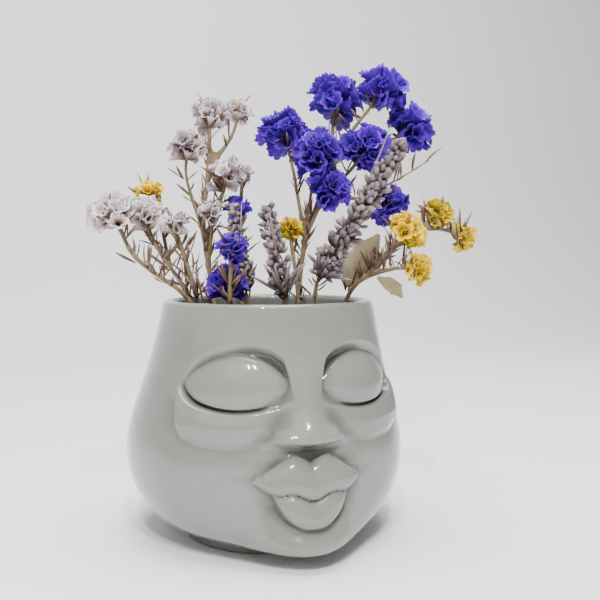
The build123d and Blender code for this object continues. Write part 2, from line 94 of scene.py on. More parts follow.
nose_ridge_shares = [(0.44, 0), (0.457, 0.03), (0.472, 0.36), (0.485, 0.84), (0.50, 1.0), (0.52, 0.96),
                     (0.56, 0.74), (0.62, 0.46), (0.68, 0.28), (0.74, 0.12), (0.80, 0)]
nose_spread_shares = [(0.44, 11), (0.47, 11), (0.50, 10.4), (0.55, 8.0), (0.60, 6.4), (0.66, 5.6),
                      (0.72, 6.0), (0.80, 8.5)]
lid_bearing, lid_bearing_spread = 32.5, 26.5
lid_level_share, lid_spread_share = 0.695, 0.118
lid_taper = 0.75
wing_bearing, wing_bearing_spread = 9.8, 3.6
wing_level_share, wing_rise_share, wing_drop_share = 0.505, 0.034, 0.022

# Planter mesh: columns round the head and rows from foot to floor
head_columns = 720
foot_rows, bowl_rows, wall_rows, lip_rows, inner_rows, cavity_rows = 6, 150, 250, 16, 50, 40

# Shade painted into the glaze's creases: depth of full painted shade, rows looked at round a point, rows left
# out at the ends
crease_full_depth = 0.0016
crease_spread = 20
crease_margin_rows = 6

# Florets: a bud's reach, the tier under it, the bracts, then the petals
bud_reach = 0.0024
golden_turn = 137.508
lower_leans = (40.0, 85.0)
lower_drop_shares = (0.15, 0.65)
bract_lean = 70.0
bract_length_shares = (0.4, 0.8)
bract_girth = 0.0007
floret_lobe_columns = 6
floret_rows = 8
floret_throat = 0.0007
floret_gap = 0.0006
petal_thickness = 0.00022
curl_share = 0.10
wobble_share = 0.12
streak_share = 0.06
drift_waves, drift_phase = 3, 3
fold_power = 0.7
lobe_teeth, tooth_phase, tooth_share = 3, 5, 0.6
floret_length_shares = (0.82, 1.12)
lower_length_shares = (0.8, 1.0)
purple_style = {"lobes": 7, "flare": 1.2, "pleat": 0.13, "ragged": 0.08, "flat": 0.75, "broad": 1.2,
                "bracts": 3, "lower": 6, "copies": [(1.1, 0), (0.95, 30), (0.8, 52)]}
white_style = {"lobes": 5, "flare": 1.4, "pleat": 0.15, "ragged": 0.10, "flat": 0.55, "broad": 1.1,
               "bracts": 6, "lower": 5, "copies": [(1.05, 0), (0.9, 32), (0.7, 50)]}
yellow_style = {"lobes": 5, "flare": 1.3, "pleat": 0.20, "ragged": 0.14, "flat": 0.6, "broad": 1.2,
                "bracts": 2, "lower": 3, "copies": [(1.05, 0), (0.9, 36), (0.75, 56)]}

# Buds, bracts and twiglets: grid of the spindle, its bend, its ribs and its profile
bud_columns, bud_rows = 8, 6
bud_bend_share = 0.15
bud_rib_share = 0.12
bud_ribs = 4
bud_foot_share, bud_belly_share, bud_tip_share, bud_point_share = 0.35, 1.9, 0.10, 0.55
bud_belly_power = 0.6

# Twiglets on the stems: how far below the rim they start, stem surface for each, least and most, sizes, lean
spray_start = 0.004
spray_area = 6e-6
spray_counts = (8, 130)
spray_lengths = (0.004, 0.012)
spray_girth = 0.0005
spray_girth_shares = (0.5, 1.4)
spray_outward_shares = (0.3, 0.9)
spray_lean = 30.0

# Lavender: whorls up the spike, narrow leaves at its foot, stalk and buds
whorl_pitch = 0.0030
whorl_buds = 12
whorl_turn_share = 0.618
top_whorl_share = 0.93
spike_leaves = 16
spike_leaf_lean = 50.0
spike_leaf_lengths = (0.008, 0.018)
spike_leaf_girth = 0.0007
stalk_radius = 0.0006
stalk_share = 0.97
bud_length_share = 0.75
bud_off_share = 0.55
bud_girth = 0.0011
bud_leans = (15.0, 95.0)
bud_stray = 0.25
bud_rise_share, bud_rise_spread_share = 0.35, 0.5
bud_upright_share = 0.5
spike_taper_share = 0.4
bud_length_spread_shares = (0.6, 1.2)
bud_girth_spread_shares = (0.7, 1.3)

# Stems and leaves: welding, joining of triangles, when an axis lies near x, subdivision, roughness
weld_distance = 1e-6
join_face_angle, join_shape_angle = 0.6, 1.2
near_x_axis = 0.8
grain_stretch = 6
stem_rounds = 2
leaf_rounds = 2
stem_roughness = (0.00028, 900.0)
leaf_roughness = (0.0014, 170.0)

# Stage: floor and wall, then the lights by name, place, size and power
floor_half, floor_front, floor_back, wall_curve, wall_top = 2.2, -1.6, 0.55, 0.45, 1.9
curve_steps = 12
floor_colour = (0.93, 0.925, 0.93, 1.0)
floor_roughness = 0.9
sky_colour = (0.98, 0.98, 1.0, 1.0)
sky_strength = 0.26
studio_lights = [
    ("key", (0.05, 0.05, 1.15), (0.8, 0.8), 25.0),
    ("fill", (-0.8, -0.8, 0.9), (0.7, 0.7), 2.0),
    ("strip_a", (-0.22, -0.50, 0.62), (0.018, 0.12), 3.4),
    ("strip_b", (-0.10, -0.52, 0.66), (0.018, 0.12), 3.4),
]

# Glaze: colours of its clouds, of the painted shade in its creases and of its pinholes, and how fine each
# pattern is
glaze_stops = [(0.30, (0.200, 0.211, 0.188)), (0.70, (0.246, 0.257, 0.231))]
# painted shade: near-black colour mixed into the glaze where the face lies in a crease
crease_shade_colour = (0.06, 0.063, 0.055)
glaze_pinhole = (0.22, 0.22, 0.20)
pinhole_stops = [(0.05, (1, 1, 1)), (0.11, (0, 0, 0))]
cloud_scale, pinhole_scale, ripple_scale = 28.0, 420.0, 110.0

# Petals: colours from throat to edge, then shades by floret; dry matter: dark and light fibre
purple_stops = [(0.0, (0.16, 0.13, 0.07)), (0.22, (0.07, 0.02, 0.13)), (0.5, (0.05, 0.006, 0.28)),
                (1.0, (0.115, 0.018, 0.54))]
white_stops = [(0.0, (0.22, 0.17, 0.08)), (0.40, (0.42, 0.31, 0.26)), (0.72, (0.70, 0.60, 0.60)),
               (1.0, (0.82, 0.76, 0.79))]
yellow_stops = [(0.0, (0.22, 0.19, 0.06)), (0.35, (0.50, 0.35, 0.02)), (1.0, (0.86, 0.62, 0.012))]
bract_stops = [(0.0, (0.10, 0.065, 0.03)), (0.5, (0.17, 0.105, 0.075)), (1.0, (0.29, 0.20, 0.17))]
lavender_stops = [(0.0, (0.10, 0.072, 0.05)), (0.5, (0.18, 0.143, 0.135)), (1.0, (0.31, 0.255, 0.28))]
tint_stops = [(0.0, (0.55, 0.55, 0.58)), (1.0, (1.25, 1.2, 1.2))]
stem_fibres = (0.06, 0.036, 0.015), (0.26, 0.195, 0.10)
leaf_fibres = (0.12, 0.098, 0.043), (0.31, 0.26, 0.14)
stem_fibre_scale, leaf_fibre_scale = 220.0, 130.0

# Camera of the photograph: place round the belly, sensor and focal length
view_turn = -17.0
view_distance = 0.360
view_height = 0.1187
aim_across = 0.0159
aim_height = 0.0991
sensor_width_mm = 36.0
lens_mm = 48.84


def smooth_curve(points, at):
    """Value at each place of a smooth curve through points of rising place, held flat beyond its ends."""
    places, values = np.array(points, float).T
    slopes = np.gradient(values, places)
    at = np.clip(at, places[0], places[-1])
    left = np.clip(np.searchsorted(places, at) - 1, 0, len(places) - 2)
    span = places[left + 1] - places[left]
    t = (at - places[left]) / span
    start = (1 + 2 * t) * (1 - t) ** 2 * values[left] + t * (1 - t) ** 2 * span * slopes[left]
    end = t * t * (3 - 2 * t) * values[left + 1] + t * t * (t - 1) * span * slopes[left + 1]
    return start + end


def ramp(value):
    """0 below 0, 1 above 1, and a smooth step between."""
    t = np.clip(value, 0, 1)
    return t * t * (3 - 2 * t)


def hump(value, middle, spread):
    """Bell curve of height 1."""
    return np.exp(-((value - middle) / spread) ** 2)


def dome(place, crest, low_edge, high_edge):
    """Rounded profile over places 0 to 1: 1 at the crest, low_edge at 0 and high_edge at 1."""
    place = np.clip(place, 0, 1)
    low = low_edge + (1 - low_edge) * np.sqrt(np.clip(1 - ((crest - place) / crest) ** 2, 0, 1))
    high = high_edge + (1 - high_edge) * np.sqrt(np.clip(1 - ((place - crest) / (1 - crest)) ** 2, 0, 1))
    return np.where(place < crest, low, high)


def smooth_max(one, other, blend):
    """The larger of two heights, rounded where they cross."""
    return (one + other + np.sqrt((one - other) ** 2 + blend ** 2)) / 2


def cheeks(side, level):
    """Flattened front of the face, full cheeks, and the step at the temples."""
    front = -flat_depth * np.exp(-(side / 44) ** 4 - ((level - 0.42) / 0.24) ** 4)
    full = cheek_relief * hump(side, 42, 16) * hump(level, 0.33, 0.12)
    temples = mask_relief * ramp((57 - side) / 5) * ramp((level - 0.50) / 0.05) * ramp((0.93 - level) / 0.1)
    return front + full + temples


def eye_bag(side, level):
    """Soft cushion below the eye, with a crisper edge at its outer end."""
    lash = smooth_curve(lash_level_shares, side)
    bag_foot = smooth_curve(bag_level_shares, side)
    place = (level - bag_foot) / (lash - bag_foot)
    crisp = 0.10 + 0.35 * ramp((side - 36) / 14)
    across = ramp((side - 10.5) / 13) * ramp((58 - side) / 3)
    inside = ramp(place / 0.24) * ramp((1.03 - place) / 0.10) * across
    return bag_relief * inside * (crisp + (1 - crisp) * np.sin(np.pi * np.clip(place, 0, 1)))


def eye_socket(side, level):
    """Share of the full socket depth, between the brow and the lash line."""
    lash = smooth_curve(lash_level_shares, side)
    brow = smooth_curve(brow_level_shares, side)
    across = ramp((side - 4.5) / 4.5) * ramp((61 - side) / 9)
    edge = 0.045 + 0.03 * ramp((side - 10) / 30)
    depth = 0.35 + 0.65 * ramp((level - 0.63) / 0.12 + ramp((side - 12) / 10))
    return ramp((brow - level) / edge) * ramp((level - lash + 0.022) / 0.02) * across * depth


def closed_lid(side, level):
    """Closed lid: an almond ball in the socket, cut off along the lash line."""
    lash = smooth_curve(lash_level_shares, side)
    across = np.clip(1 - ((side - lid_bearing) / lid_bearing_spread) ** 2, thinnest_lip_share, 1)
    up = (level - lid_level_share) / (lid_spread_share * across ** lid_taper)
    ball = np.sqrt(np.clip(1 - up ** 2, 0, 1) * across) * ramp((level - lash + 0.010) / 0.014)
    return (lid_relief + socket_depth) * ball - socket_depth


def nose(side, level):
    """Ridge that widens down to the tip, with a wing at each side."""
    spread = smooth_curve(nose_spread_shares, level)
    ridge = np.maximum(smooth_curve(nose_ridge_shares, level), 0) * np.exp(-(side / spread) ** 2)
    wing_spread = np.where(level > wing_level_share, wing_rise_share, wing_drop_share)
    wing = hump(side, wing_bearing, wing_bearing_spread) * hump(level, wing_level_share, wing_spread)
    return nose_relief * ridge + wing_relief * wing


def lips(side, level):
    """Full lips that meet in a bowed line, on a soft muzzle, with the groove under the nose."""
    lip_top = smooth_curve(lip_top_level_shares, side)
    mouth = smooth_curve(mouth_level_shares, side)
    lip_foot = smooth_curve(lip_foot_level_shares, side)
    place = (level - mouth) / (lip_top - mouth)
    upper = upper_lip_relief * smooth_curve(upper_lip_fade_shares, side) * dome(place, 0.30, 0.60, 0.05)
    upper = upper * ramp((1.08 - place) / 0.10) * ramp((place + 0.07) / 0.09)
    place = (level - lip_foot) / np.maximum(mouth - lip_foot, thinnest_lip_share)
    end = lip_foot_level_shares[-1][0]
    lower = lower_lip_relief * np.sqrt(np.clip(1 - (side / end) ** 2, 0, 1)) * dome(place, 0.52, 0.02, 0.30)
    lower = lower * ramp((1.02 - place) / 0.06) * ramp((place + 0.08) / 0.1)
    muzzle = muzzle_relief * hump(side, 0, 19) * hump(level, 0.31, 0.12)
    groove = philtrum_depth * hump(side, 0, 3.2) * hump(level, 0.45, 0.022)
    return np.maximum(upper, np.where(side < end, lower, 0)) + muzzle - groove


def chin(side, level):
    """Chin that juts forward, below a soft fold."""
    jut = chin_relief * hump(side, 0, 18) * hump(level, 0.065, 0.085)
    return jut - chin_fold_depth * hump(side, 0, 14) * hump(level, 0.150, 0.024)


def face_relief(bearings, level):
    """Height of the sculpted face above the plain outline, fading out at the foot and the rim."""
    side = np.abs(bearings)
    face = cheeks(side, level) + eye_bag(side, level)
    socket = eye_socket(side, level)
    face = face * (1 - socket) - socket_depth * socket
    face = smooth_max(face, closed_lid(side, level), crease_blend)
    face = face + nose(side, level) + lips(side, level) + chin(side, level)
    return face * ramp((level - 0.03) / 0.03) * ramp((0.985 - level) / 0.08)


def wall_flare(share):
    """How far the wall has drawn in from belly to rim."""
    return share ** 2 + (1 - share) * share ** 2 * (3 - 2 * share)


def set_back(height):
    """How far behind the foot's middle the wall's middle lies: most at the belly, none at foot and rim."""
    low = np.sin(np.pi / 2 * np.clip((height - foot_height) / (belly_height - foot_height), 0, 1))
    high = 1 - ramp((height - belly_height) / (rim_height - belly_height))
    return belly_set_back * np.where(height < belly_height, low, high)


def skin_rows(bearings):
    """Rows of (radius, height) over the bearings: up the outside, over the lip and down to the floor."""
    lip = wall / 2
    lip_height = rim_height - lip
    draw_in = belly_radius - rim_radius
    power = jaw_power + (chin_power - jaw_power) * hump(bearings, 0, chin_power_spread)
    rows = []
    for i in range(foot_rows):
        rows.append((foot_radius, foot_height * i / foot_rows, 0))
    for i in range(bowl_rows):
        turn = np.pi / 2 * i / bowl_rows
        radius = foot_radius + (belly_radius - foot_radius) * np.sin(turn) ** (2 / power)
        rows.append((radius, belly_height - (belly_height - foot_height) * np.cos(turn) ** (2 / power), 1))
    for i in range(wall_rows):
        share = i / wall_rows
        radius = belly_radius - draw_in * wall_flare(share)
        rows.append((radius, belly_height + (lip_height - belly_height) * share, 1))
    for i in range(lip_rows):
        turn = np.pi * i / lip_rows
        rows.append((rim_radius - lip + lip * math.cos(turn), lip_height + lip * math.sin(turn), 0))
    for i in range(inner_rows):
        share = 1 - i / inner_rows
        radius = belly_radius - wall - draw_in * wall_flare(share)
        rows.append((radius, belly_height + (lip_height - belly_height) * share, 0))
    for i in range(cavity_rows + 1):
        turn = np.pi / 2 * i / cavity_rows
        radius = floor_radius + (belly_radius - wall - floor_radius) * math.cos(turn)
        rows.append((radius, belly_height - (belly_height - floor_thickness) * math.sin(turn), 0))
    return [(radius + relief * face_relief(bearings, height / rim_height), height + 0 * bearings)
            for radius, height, relief in rows]


# Meshes and pieces


def new_object(name, mesh, *materials):
    """Object of a mesh in the scene, with its materials."""
    for material in materials:
        mesh.materials.append(material)
    obj = bpy.data.objects.new(name, mesh)
    bpy.context.collection.objects.link(obj)
    return obj


def mesh_of(name, points, faces):
    """Smooth-shaded mesh from points and faces."""
    mesh = bpy.data.meshes.new(name)
    mesh.from_pydata([tuple(point) for point in points], [], [tuple(face) for face in faces])
    mesh.polygons.foreach_set("use_smooth", [True] * len(mesh.polygons))
    mesh.update()
    return mesh


def grid_faces(rows, columns):
    """Faces of a grid of points that closes round its columns."""
    faces = []
    for row in range(rows - 1):
        for column in range(columns):
            beside = (column + 1) % columns
            low, high = row * columns, (row + 1) * columns
            faces.append((low + column, low + beside, high + beside, high + column))
    return faces


def stands_for(piece, body, slot, *names):
    """The piece moves with a body and stands for CAD nodes."""
    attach(piece, body)
    if names:
        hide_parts(*names)


# Materials


def shader(name):
    """New material, its node tree and its main shader."""
    material = bpy.data.materials.new(name)
    material.use_nodes = True
    tree = material.node_tree
    return material, tree, tree.nodes["Principled BSDF"]


def add(tree, kind, **inputs):
    """Node of a kind, with its inputs set by name."""
    node = tree.nodes.new(kind)
    for key, value in inputs.items():
        node.inputs[key.replace("_", " ")].default_value = value
    return node


def coordinates(tree, scale):
    """Object coordinates scaled by one number."""
    place = tree.nodes.new("ShaderNodeTexCoord")
    mapping = tree.nodes.new("ShaderNodeMapping")
    mapping.inputs["Scale"].default_value = (scale, scale, scale)
    tree.links.new(place.outputs["Object"], mapping.inputs["Vector"])
    return mapping.outputs["Vector"]


def noise_field(tree, scale, detail=4.0, roughness=0.55):
    """Noise over the object."""
    node = add(tree, "ShaderNodeTexNoise", Scale=1.0, Detail=detail, Roughness=roughness)
    tree.links.new(coordinates(tree, scale), node.inputs["Vector"])
    return node.outputs["Fac"]


def colour_ramp(tree, field, stops):
    """Colours along a field, from (place, colour) stops."""
    node = tree.nodes.new("ShaderNodeValToRGB")
    while len(node.color_ramp.elements) < len(stops):
        node.color_ramp.elements.new(0.5)
    for element, (place, colour) in zip(node.color_ramp.elements, stops):
        element.position = place
        element.color = (*colour, 1.0)
    tree.links.new(field, node.inputs["Fac"])
    return node.outputs["Color"]


def bump(tree, field, target, strength, distance):
    """Bump from a field into a shader's normal."""
    node = add(tree, "ShaderNodeBump", Strength=strength, Distance=distance)
    tree.links.new(field, node.inputs["Height"])
    tree.links.new(node.outputs["Normal"], target.inputs["Normal"])


def mix_colour(tree, share, one, other):
    """Mix of two colours by a share that may be a socket."""
    node = tree.nodes.new("ShaderNodeMix")
    node.data_type = "RGBA"
    for value, socket in ((share, node.inputs[0]), (one, node.inputs[6]), (other, node.inputs[7])):
        if isinstance(value, bpy.types.NodeSocket):
            tree.links.new(value, socket)
        else:
            socket.default_value = value if isinstance(value, float) else (*value, 1.0)
    return node.outputs[2]


def glaze_material():
    """Pale grey-green gloss glaze: faint mottling, painted shade darkening the creases, with pinholes."""
    material, tree, main = shader("glaze")
    colour = colour_ramp(tree, noise_field(tree, cloud_scale, 5.0), glaze_stops)
    painted_crease_shade = tree.nodes.new("ShaderNodeAttribute")
    painted_crease_shade.attribute_name = "painted_crease_shade"
    # painted shade: the glaze colour is mixed towards near-black by the crease weight, darkening the creases
    colour = mix_colour(tree, painted_crease_shade.outputs["Fac"], colour, crease_shade_colour)
    pits = add(tree, "ShaderNodeTexVoronoi", Scale=1.0)
    tree.links.new(coordinates(tree, pinhole_scale), pits.inputs["Vector"])
    speck = colour_ramp(tree, pits.outputs["Distance"], pinhole_stops)
    colour = mix_colour(tree, speck, colour, glaze_pinhole)
    tree.links.new(colour, main.inputs["Base Color"])
    main.inputs["Roughness"].default_value = 0.20
    main.inputs["Specular IOR Level"].default_value = 0.15
    main.inputs["Coat Weight"].default_value = 0.75
    main.inputs["Coat Roughness"].default_value = 0.015
    bump(tree, noise_field(tree, ripple_scale, 2.0), main, 0.06, 0.0006)
    return material


def petal_material(name, stops, through, rough=0.6):
    """Papery floret: colour from throat to edge with streaks, light passing through it."""
    material, tree, main = shader(name)
    along = tree.nodes.new("ShaderNodeAttribute")
    along.attribute_name = "along"
    tint = tree.nodes.new("ShaderNodeAttribute")
    tint.attribute_name = "tint"
    colour = colour_ramp(tree, along.outputs["Fac"], stops)
    shade = colour_ramp(tree, tint.outputs["Fac"], tint_stops)
    scaled = tree.nodes.new("ShaderNodeMix")
    scaled.data_type = "RGBA"
    scaled.blend_type = "MULTIPLY"
    scaled.inputs[0].default_value = 1.0
    tree.links.new(colour, scaled.inputs[6])
    tree.links.new(shade, scaled.inputs[7])
    tree.links.new(scaled.outputs[2], main.inputs["Base Color"])
    main.inputs["Roughness"].default_value = rough
    main.inputs["Subsurface Weight"].default_value = through
    main.inputs["Subsurface Radius"].default_value = (0.002, 0.002, 0.002)
    main.inputs["Specular IOR Level"].default_value = 0.15
    bump(tree, noise_field(tree, 900.0, 3.0), main, 0.35, 0.0004)
    return material


def dry_material(name, dark, light, scale):
    """Dry plant matter: streaked browns and olives with a rough fibrous surface."""
    material, tree, main = shader(name)
    fibre = noise_field(tree, scale, 6.0, 0.65)
    patch = noise_field(tree, scale / 5, 3.0)
    colour = mix_colour(tree, patch, colour_ramp(tree, fibre, [(0.35, dark), (0.65, light)]), light)
    tree.links.new(colour, main.inputs["Base Color"])
    main.inputs["Roughness"].default_value = 0.8
    bump(tree, noise_field(tree, scale * 6, 4.0, 0.7), main, 0.5, 0.0004)
    return material


# Planter


def planter_mesh():
    """Sculpted pot at a fine resolution, closed at the foot and at the floor."""
    bearings = np.linspace(-180, 180, head_columns, endpoint=False)
    turns = np.radians(bearings)
    rings = []
    for radius, height in skin_rows(bearings):
        behind = set_back(height) - radius * np.cos(turns)
        rings.append(np.stack([radius * np.sin(turns), behind, height], -1))
    points = np.concatenate(rings)
    faces = grid_faces(len(rings), head_columns)
    last = len(points) - head_columns
    faces.append(tuple(range(head_columns))[::-1])
    faces.append(tuple(range(last, len(points))))
    mesh = mesh_of("planter_skin", points, faces)
    # weight of the painted shade in the creases, from how far each point lies below its surroundings
    painted_crease_shade = mesh.attributes.new("painted_crease_shade", "FLOAT", "POINT")
    painted_crease_shade.data.foreach_set("value", crease_shade_weights(bearings).astype(np.float32).ravel())
    return mesh


def crease_shade_weights(bearings):
    """How much deeper than its surroundings each point of the face lies, 0 to 1: the weight of the shade
    painted into the glaze there.
    """
    rows = skin_rows(bearings)
    radius = np.array([row[0] for row in rows])
    around = radius.copy()
    for shift in range(1, crease_spread + 1):
        up = np.concatenate([radius[shift:], np.repeat(radius[-1:], shift, 0)])
        down = np.concatenate([np.repeat(radius[:1], shift, 0), radius[:-shift]])
        around += up + down + np.roll(radius, shift, 1) + np.roll(radius, -shift, 1)
    around /= 1 + 4 * crease_spread
    outside = np.zeros(len(rows))
    outside[foot_rows + crease_margin_rows:foot_rows + bowl_rows + wall_rows - crease_margin_rows] = 1
    return np.clip((around - radius) / crease_full_depth, 0, 1) * outside[:, None]


planter = new_object("planter", planter_mesh(), glaze_material())
stands_for(planter, "planter", "glaze", "planter_head")


# Flowers


def islands(node):
    """Separate solids of a CAD node, each as an array of its own points."""
    copy = bmesh.new()
    copy.from_mesh(nodes[node].data)
    bmesh.ops.remove_doubles(copy, verts=copy.verts, dist=weld_distance)
    seen = set()
    groups = []
    for vert in copy.verts:
        if vert.index in seen:
            continue
        stack, group = [vert], []
        seen.add(vert.index)
        while stack:
            here = stack.pop()
            group.append(here.co.copy())
            for edge in here.link_edges:
                other = edge.other_vert(here)
                if other.index not in seen:
                    seen.add(other.index)
                    stack.append(other)
        groups.append(np.array(group))
    copy.free()
    return groups


def floret_frame(points):
    """Throat, axis, length and mouth radius of a floret solid, whose throat is its tightest ring."""
    ring = (len(points) - 1) // 2
    gaps = np.linalg.norm(points[:, None] - points[None], axis=2)
    closeness = np.sort(gaps, axis=1)[:, 1:ring].mean(1)
    order = np.argsort(closeness)
    throat = points[order[:ring]].mean(0)
    rim = points[order[ring:]]
    far = rim[np.argsort(np.linalg.norm(rim - throat, axis=1))[1:]]
    mouth_centre = far.mean(0)
    axis = mouth_centre - throat
    length = np.linalg.norm(axis)
    mouth = np.linalg.norm(far - mouth_centre, axis=1).max()
    return throat, axis / length, length, mouth


def frame_matrix(axis, turn):
    """Columns of a right-handed frame whose third column is the axis."""
    helper = np.array([1.0, 0, 0]) if abs(axis[0]) < near_x_axis else np.array([0, 1.0, 0])
    across = np.cross(helper, axis)
    across /= np.linalg.norm(across)
    up = np.cross(axis, across)
    return np.stack([across * math.cos(turn) + up * math.sin(turn),
                     up * math.cos(turn) - across * math.sin(turn), axis], 1)


class Growth:
    """Points, faces and point values of many alike small shapes, gathered into one mesh."""

    def __init__(self):
        self.points, self.faces, self.along, self.tint = [], [], [], []

    def take(self, points, faces, along, tint):
        """Adds one shape."""
        start = sum(len(group) for group in self.points)
        self.points.append(points)
        self.faces += [tuple(start + corner for corner in face) for face in faces]
        self.along.append(along)
        self.tint.append(np.full(len(points), tint))

    def mesh(self, name):
        """The gathered mesh, with its values for the material."""
        mesh = mesh_of(name, np.concatenate(self.points), self.faces)
        for key, values in (("along", self.along), ("tint", self.tint)):
            layer = mesh.attributes.new(key, "FLOAT", "POINT")
            layer.data.foreach_set("value", np.concatenate(values).astype(np.float32))
        return mesh


def grow_floret(growth, throat, axis, length, mouth, style):
    """Adds one papery floret: a thin pleated trumpet with a ragged, curled edge."""
    lobes, flare, pleat, ragged, flat = (style[key] for key in ("lobes", "flare", "pleat", "ragged", "flat"))
    columns = lobes * floret_lobe_columns
    turns = np.linspace(0, 2 * math.pi, columns, endpoint=False)
    wave = random.normal(0, 1, 2 * drift_waves)
    drift = sum(wave[k] * np.sin((k + 1) * turns + wave[k + drift_waves] * drift_phase)
                for k in range(drift_waves)) / drift_waves
    fold = np.abs(np.sin(lobes * turns / 2)) ** fold_power * 2 - 1
    edge = ragged * (tooth_share * np.sin(lobes * lobe_teeth * turns + wave[4] * tooth_phase) + drift)
    squeeze = 1 - flat * random.random()
    basis = frame_matrix(axis, random.random() * 2 * math.pi)
    rings, values = [], []
    shares = np.linspace(0, 1, floret_rows)
    for side, inset in ((0, 0.0), (1, petal_thickness)):
        for share in (shares if side == 0 else shares[::-1]):
            radius = floret_throat + (mouth - floret_throat) * share ** flare
            radius = radius * (1 + pleat * share * fold + wobble_share * share * drift) - inset
            height = length * share * (1 + edge * share ** 4) - curl_share * length * share ** 6
            place = np.stack([radius * np.cos(turns), squeeze * radius * np.sin(turns), height], -1)
            rings.append(place @ basis.T + throat)
            values.append(np.full(columns, share) + streak_share * share * drift)
    faces = grid_faces(len(rings), columns)
    last = (len(rings) - 1) * columns
    faces += [(last + c, last + (c + 1) % columns, (c + 1) % columns, c) for c in range(columns)]
    growth.take(np.concatenate(rings), faces, np.concatenate(values), random.random())


def tilted(axis, most):
    """Axis leaned by a random angle between half of most and most degrees."""
    lean = math.radians(most) * (0.5 + 0.5 * random.random())
    turn = 2 * math.pi * random.random()
    basis = frame_matrix(axis, turn)
    return basis @ np.array([math.sin(lean), 0, math.cos(lean)])


def flower_heads(florets):
    """Bud centre, upward axis, floret length and mouth of each head, from florets that share a bud."""
    heads = []
    for throat, axis, length, mouth in florets:
        centre = throat - axis * bud_reach
        for head in heads:
            if np.linalg.norm(head[0] - centre) < bud_reach / 2:
                head[1].append(axis)
                break
        else:
            heads.append((centre, [axis], length, mouth))
    return [(centre, np.mean(axes, 0) / np.linalg.norm(np.mean(axes, 0)), length, mouth)
            for centre, axes, length, mouth in heads]


def floret_cluster(node, style, material, body, slot):
    """Florets that dress a CAD node's florets, with more between them, a tier below, and dry bracts."""
    growth = Growth()
    florets = [floret_frame(points) for points in islands(node)]
    for throat, axis, length, mouth in florets:
        for size, lean in style["copies"]:
            way = tilted(axis, lean) if lean else axis
            start = throat - axis * floret_gap
            grow_floret(growth, start, way, length * size * random.uniform(*floret_length_shares),
                        mouth * size * style["broad"], style)
    for centre, upward, length, mouth in flower_heads(florets):
        for place in range(style["lower"]):
            turn = math.radians(golden_turn * place)
            lean = math.radians(random.uniform(*lower_leans))
            way = frame_matrix(upward, turn) @ np.array([math.sin(lean), 0, math.cos(lean)])
            start = centre - upward * length * random.uniform(*lower_drop_shares)
            grow_floret(growth, start, way, length * random.uniform(*lower_length_shares),
                        mouth * style["broad"], style)
    piece = new_object(node + "_dressed", growth.mesh(node + "_dressed"), material)
    stands_for(piece, body, slot, node)
    bracts = Growth()
    for throat, axis, length, _ in florets:
        for _ in range(style["bracts"]):
            grow_bud(bracts, throat - axis * floret_gap, tilted(axis, bract_lean),
                     length * random.uniform(*bract_length_shares), bract_girth)
    piece = new_object(node + "_bracts", bracts.mesh(node + "_bracts"), dry_bract)
    stands_for(piece, body, "dry_stem")


purple_petal = petal_material("purple_petal", purple_stops, 0.03)
white_petal = petal_material("white_petal", white_stops, 0.15)
yellow_petal = petal_material("yellow_petal", yellow_stops, 0.02)
dry_stem = dry_material("dry_stem", *stem_fibres, stem_fibre_scale)
dry_leaf = dry_material("dry_leaf", *leaf_fibres, leaf_fibre_scale)
dry_bract = petal_material("dry_bract", bract_stops, 0.03, 0.85)
lavender_bud = petal_material("lavender_bud", lavender_stops, 0.03, 0.85)


def soft_copy(name, node, rounds, roughness, material, body, slot):
    """Copy of a CAD node's surface, rounded by subdivision and roughened as a dry plant is."""
    source = bmesh.new()
    source.from_mesh(nodes[node].data)
    bmesh.ops.remove_doubles(source, verts=source.verts, dist=weld_distance)
    bmesh.ops.join_triangles(source, faces=source.faces, angle_face_threshold=join_face_angle,
                             angle_shape_threshold=join_shape_angle)
    coarse = bpy.data.meshes.new(name + "_coarse")
    source.to_mesh(coarse)
    source.free()
    holder = new_object(name + "_coarse", coarse)
    soften = holder.modifiers.new("soften", "SUBSURF")
    soften.levels = rounds
    depsgraph = bpy.context.evaluated_depsgraph_get()
    mesh = bpy.data.meshes.new_from_object(holder.evaluated_get(depsgraph))
    bpy.data.objects.remove(holder)
    size, detail = roughness
    places = np.empty(3 * len(mesh.vertices))
    mesh.vertices.foreach_get("co", places)
    outward = np.empty(3 * len(mesh.vertices))
    mesh.vertices.foreach_get("normal", outward)
    grain = places.reshape(-1, 3) * (detail, detail, detail / grain_stretch)
    ridges = np.array([noise.noise(point) for point in grain])
    places += (outward.reshape(-1, 3) * size * ridges[:, None]).ravel()
    mesh.vertices.foreach_set("co", places)
    mesh.polygons.foreach_set("use_smooth", [True] * len(mesh.polygons))
    mesh.materials.clear()
    piece = new_object(name, mesh, material)
    stands_for(piece, body, slot, node)


def sprays(node, body):
    """Short dry twiglets and scales that stand up along the stems of a bunch."""
    source = nodes[node].data
    growth = Growth()
    faces = [face for face in source.polygons if face.center.z > rim_height - spray_start]
    weights = np.array([face.area for face in faces])
    count = int(np.clip(weights.sum() / spray_area, *spray_counts))
    for pick in random.choice(len(faces), count, p=weights / weights.sum()):
        corners = np.array([source.vertices[corner].co for corner in faces[pick].vertices])
        start = random.dirichlet(np.ones(len(corners))) @ corners
        way = np.array(faces[pick].normal) * random.uniform(*spray_outward_shares) + np.array([0, 0, 1.0])
        grow_bud(growth, start, tilted(way / np.linalg.norm(way), spray_lean), random.uniform(*spray_lengths),
                 spray_girth * random.uniform(*spray_girth_shares))
    piece = new_object(node + "_sprays", growth.mesh(node + "_sprays"), dry_bract)
    stands_for(piece, body, "dry_stem")


def spike_ends(points):
    """Lower and upper end of a spike's axis."""
    middle = points.mean(0)
    axis = np.linalg.svd(points - middle, full_matrices=False)[2][0]
    axis = axis if axis[2] > 0 else -axis
    along = (points - middle) @ axis
    return middle + axis * along.min(), middle + axis * along.max(), axis


